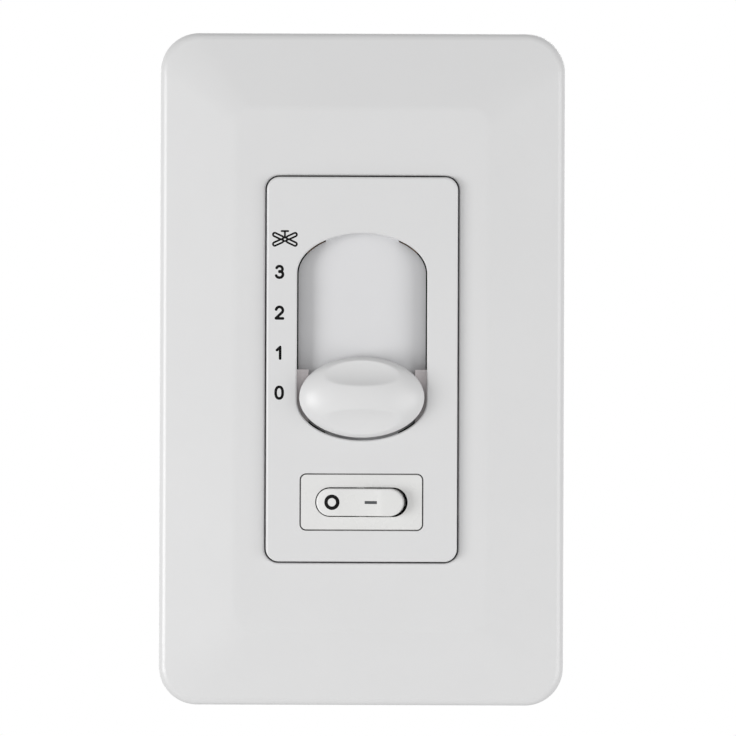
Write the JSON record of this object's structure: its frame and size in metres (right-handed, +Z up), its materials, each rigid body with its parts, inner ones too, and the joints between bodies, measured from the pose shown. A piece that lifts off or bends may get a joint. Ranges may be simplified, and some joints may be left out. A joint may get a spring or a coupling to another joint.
{
  "type": "fan speed control switch",
  "caption": "Wall-box fan speed control: bevelled clip-on plate, insert panel with a stepped oval slide and a small light rocker, contact mechanism and back housing.",
  "frame": {"origin": "on the wall surface, midway between the two box screws", "axes": "+Z up the wall, +Y into the wall, +X to the right as the user faces it"},
  "size_m": [0.07, 0.0404, 0.1164],
  "materials": {
    "plate_plastic": "satin white moulding",
    "sub_plate_plastic": "plain white moulding",
    "zinc_screw": "bright zinc",
    "zinc_steel": "galvanised strip",
    "panel_plastic": "satin white moulding",
    "track_plastic": "satin white moulding",
    "knob_plastic": "polished white moulding",
    "saddle_nylon": "natural nylon",
    "spring_steel": "bright spring steel",
    "contact_brass": "bright brass",
    "board_laminate": "green solder mask",
    "copper_pad": "plated copper",
    "capacitor_case": "moulded box",
    "resistor_coat": "lacquered body",
    "rocker_ivory": "satin warm white moulding",
    "housing_plastic": "fine-textured black moulding",
    "grommet_rubber": "moulded rubber"
  },
  "bodies": {
    "base": {"wall_plate": "plate_plastic", "sub_plate": "sub_plate_plastic", "plate_screws": "zinc_screw", "mounting_yoke": "zinc_steel", "mounting_screws": "zinc_screw", "face_panel": "panel_plastic", "slide_track": "track_plastic", "contact_board": "board_laminate", "contact_pads": "copper_pad", "low_speed_capacitor": "capacitor_case", "medium_speed_capacitor": "capacitor_case", "bleed_resistors": "resistor_coat", "rocker_frame": "rocker_ivory", "middle_terminal": "contact_brass", "light_terminal": "contact_brass", "back_housing": "housing_plastic", "housing_screws": "zinc_screw", "lead_grommet": "grommet_rubber"},
    "slider": {"slide_knob": "knob_plastic", "slide_saddle": "saddle_nylon", "contact_carrier": "saddle_nylon", "detent_spring": "spring_steel", "wiper_contact": "contact_brass"},
    "rocker": {"rocker_button": "rocker_ivory", "rocker_plunger": "saddle_nylon", "rocker_spring": "spring_steel"},
    "see_saw": {"contact_arm": "contact_brass"}
  },
  "joints": [
    {"name": "knob_slide", "type": "slide", "parent": "base", "child": "slider", "axis": [0, 0, 1], "range_m": [0, 0.02079], "deforming": ["detent_spring"]},
    {"name": "rocker_tip", "type": "hinge", "parent": "base", "child": "rocker", "pos_m": [0, -0.00564, -0.02283], "axis": [0, 0, 1], "range_deg": [0, 14]},
    {"name": "arm_tip", "type": "hinge", "parent": "base", "child": "see_saw", "pos_m": [0, 0.00061, -0.02283], "axis": [0, 0, 1], "range_deg": [-10, 0]}
  ],
  "couplings": [
    {"joint": "arm_tip", "follows": "rocker_tip", "ratio": -0.71428}
  ]
}
